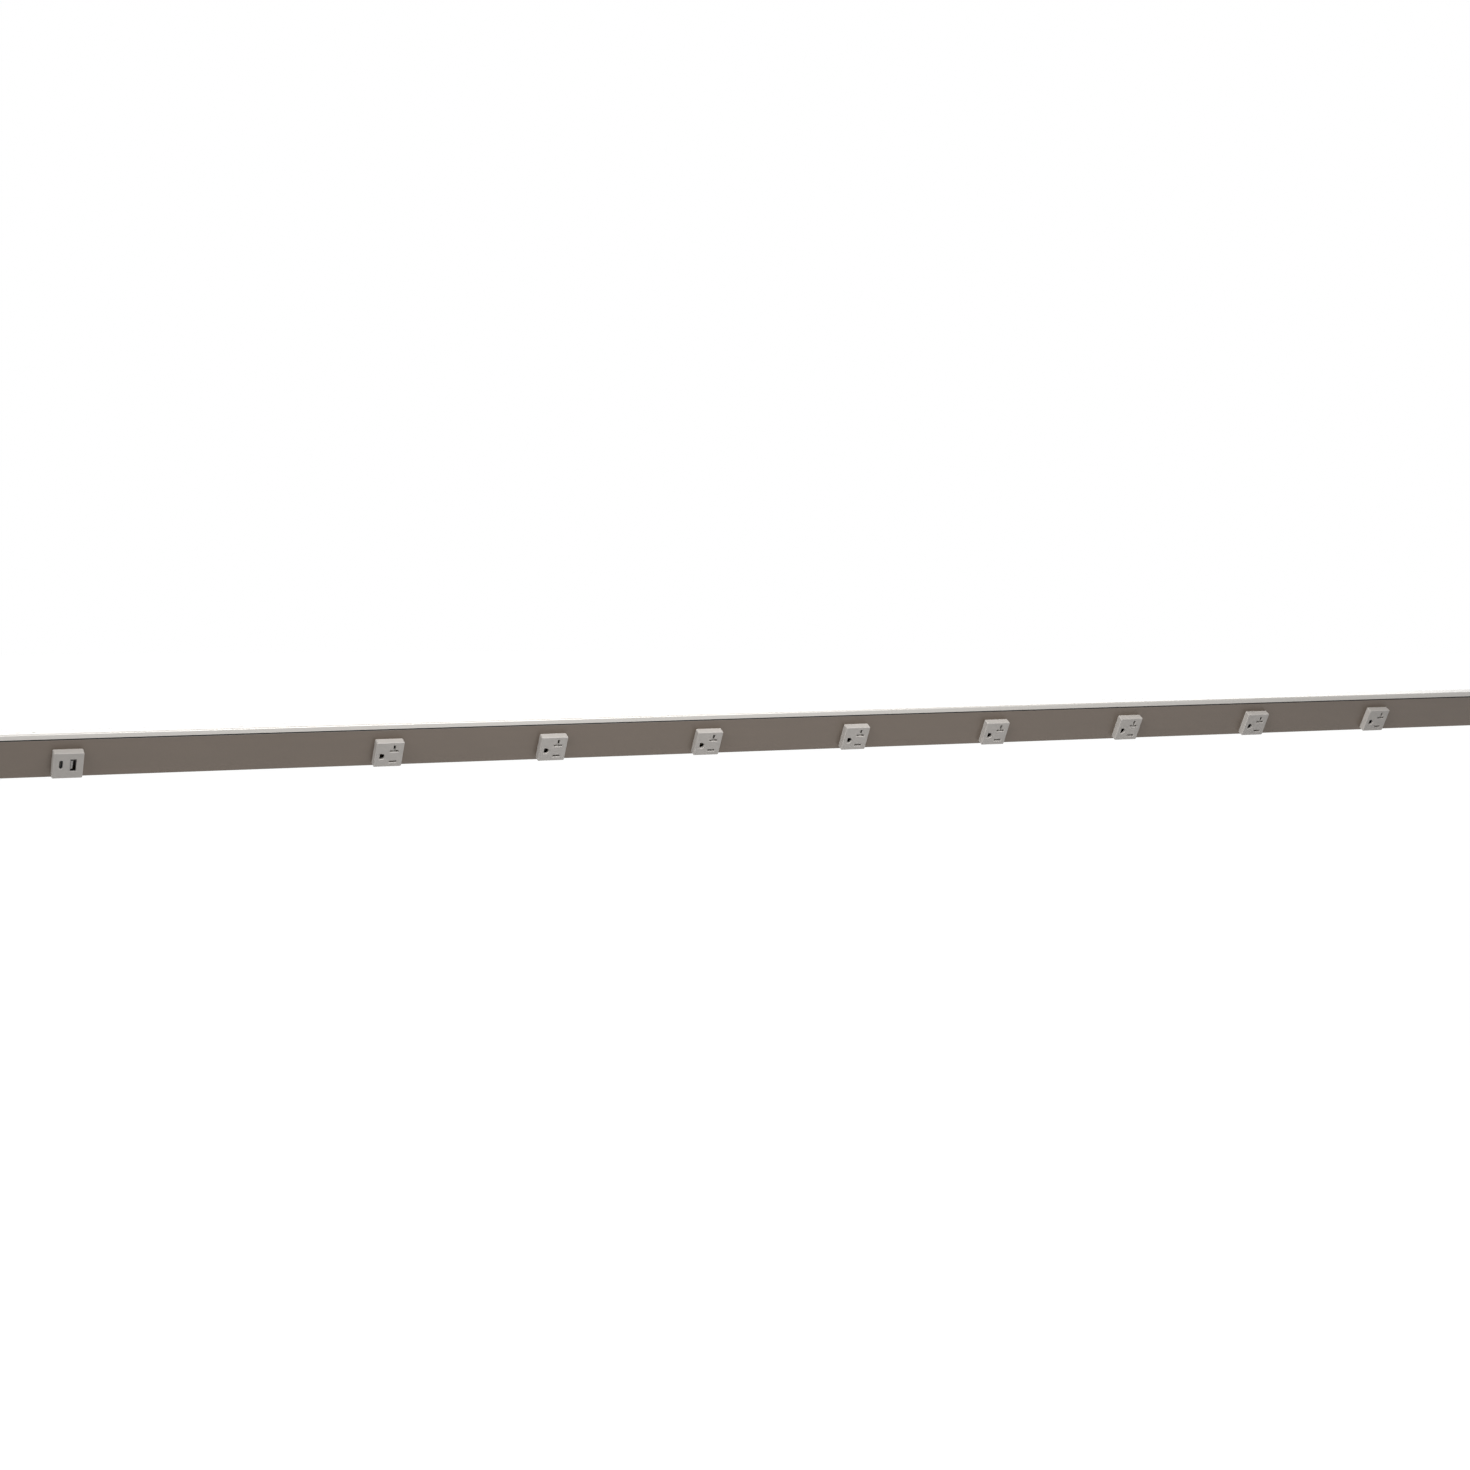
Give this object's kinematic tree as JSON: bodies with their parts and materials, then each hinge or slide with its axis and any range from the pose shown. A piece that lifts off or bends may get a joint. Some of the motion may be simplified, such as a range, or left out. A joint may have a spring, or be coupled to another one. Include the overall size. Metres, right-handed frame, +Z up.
{
  "type": "under cabinet power strip",
  "caption": "Long angled metal strip for the underside of a wall cabinet, with square grounded receptacles spaced along its sloping face and a USB charging module at its left end.",
  "frame": {"origin": "centre of the top face that goes against the cabinet, midway along the strip and midway between front and back", "axes": "+X along the strip to the viewer's right, -Y out of the front, +Z up out of the top face"},
  "size_m": [1.8326, 0.0454, 0.0446],
  "materials": {
    "satin_metal": "satin, fine-grained",
    "grey_plastic": "fine moulded texture",
    "body_plastic": "moulded",
    "shutter_plastic": "smooth moulded",
    "brass": "rolled strip",
    "spring_steel": "rolled strip",
    "screw_steel": "plated",
    "ground_green": "green plated",
    "black_wire": "extruded insulation",
    "white_wire": "extruded insulation",
    "green_wire": "extruded insulation",
    "circuit_board": "solder mask",
    "port_steel": "plated steel",
    "black_plastic": "moulded",
    "tongue_plastic": "moulded",
    "transformer_core": "ferrite",
    "capacitor_can": "sleeved can"
  },
  "bodies": {
    "strip": {"base_channel": "satin_metal", "front_cover": "satin_metal", "end_cap_left": "satin_metal", "end_cap_right": "satin_metal", "end_cap_screws": "screw_steel", "ground_screw": "ground_green", "hot_wire": "black_wire", "neutral_wire": "white_wire", "ground_wire": "green_wire", "receptacle_face_1": "grey_plastic", "receptacle_body_1": "body_plastic", "contacts_1": "brass", "shutter_spring_1": "spring_steel", "receptacle_face_2": "grey_plastic", "receptacle_body_2": "body_plastic", "contacts_2": "brass", "shutter_spring_2": "spring_steel", "receptacle_face_3": "grey_plastic", "receptacle_body_3": "body_plastic", "contacts_3": "brass", "shutter_spring_3": "spring_steel", "receptacle_face_4": "grey_plastic", "receptacle_body_4": "body_plastic", "contacts_4": "brass", "shutter_spring_4": "spring_steel", "receptacle_face_5": "grey_plastic", "receptacle_body_5": "body_plastic", "contacts_5": "brass", "shutter_spring_5": "spring_steel", "receptacle_face_6": "grey_plastic", "receptacle_body_6": "body_plastic", "contacts_6": "brass", "shutter_spring_6": "spring_steel", "receptacle_face_7": "grey_plastic", "receptacle_body_7": "body_plastic", "contacts_7": "brass", "shutter_spring_7": "spring_steel", "receptacle_face_8": "grey_plastic", "receptacle_body_8": "body_plastic", "contacts_8": "brass", "shutter_spring_8": "spring_steel", "usb_face": "grey_plastic", "usb_body": "body_plastic", "usb_circuit_board": "circuit_board", "usb_mains_taps": "brass", "usb_c_shell": "port_steel", "usb_c_tongue": "black_plastic", "usb_a_shell": "port_steel", "usb_a_tongue": "tongue_plastic", "usb_transformer": "transformer_core", "usb_capacitor": "capacitor_can"},
    "shutter_1": {"shutter_1": "shutter_plastic"},
    "shutter_2": {"shutter_2": "shutter_plastic"},
    "shutter_3": {"shutter_3": "shutter_plastic"},
    "shutter_4": {"shutter_4": "shutter_plastic"},
    "shutter_5": {"shutter_5": "shutter_plastic"},
    "shutter_6": {"shutter_6": "shutter_plastic"},
    "shutter_7": {"shutter_7": "shutter_plastic"},
    "shutter_8": {"shutter_8": "shutter_plastic"}
  },
  "joints": [
    {"name": "shutter_1_slide", "type": "slide", "parent": "strip", "child": "shutter_1", "axis": [0, 0.5, -0.866], "range_m": [0, 0.0028], "stiffness_N_per_m": 40, "springref_m": -0.004, "deforming": ["shutter_spring_1"]},
    {"name": "shutter_2_slide", "type": "slide", "parent": "strip", "child": "shutter_2", "axis": [0, 0.5, -0.866], "range_m": [0, 0.0028], "stiffness_N_per_m": 40, "springref_m": -0.004, "deforming": ["shutter_spring_2"]},
    {"name": "shutter_3_slide", "type": "slide", "parent": "strip", "child": "shutter_3", "axis": [0, 0.5, -0.866], "range_m": [0, 0.0028], "stiffness_N_per_m": 40, "springref_m": -0.004, "deforming": ["shutter_spring_3"]},
    {"name": "shutter_4_slide", "type": "slide", "parent": "strip", "child": "shutter_4", "axis": [0, 0.5, -0.866], "range_m": [0, 0.0028], "stiffness_N_per_m": 40, "springref_m": -0.004, "deforming": ["shutter_spring_4"]},
    {"name": "shutter_5_slide", "type": "slide", "parent": "strip", "child": "shutter_5", "axis": [0, 0.5, -0.866], "range_m": [0, 0.0028], "stiffness_N_per_m": 40, "springref_m": -0.004, "deforming": ["shutter_spring_5"]},
    {"name": "shutter_6_slide", "type": "slide", "parent": "strip", "child": "shutter_6", "axis": [0, 0.5, -0.866], "range_m": [0, 0.0028], "stiffness_N_per_m": 40, "springref_m": -0.004, "deforming": ["shutter_spring_6"]},
    {"name": "shutter_7_slide", "type": "slide", "parent": "strip", "child": "shutter_7", "axis": [0, 0.5, -0.866], "range_m": [0, 0.0028], "stiffness_N_per_m": 40, "springref_m": -0.004, "deforming": ["shutter_spring_7"]},
    {"name": "shutter_8_slide", "type": "slide", "parent": "strip", "child": "shutter_8", "axis": [0, 0.5, -0.866], "range_m": [0, 0.0028], "stiffness_N_per_m": 40, "springref_m": -0.004, "deforming": ["shutter_spring_8"]}
  ]
}
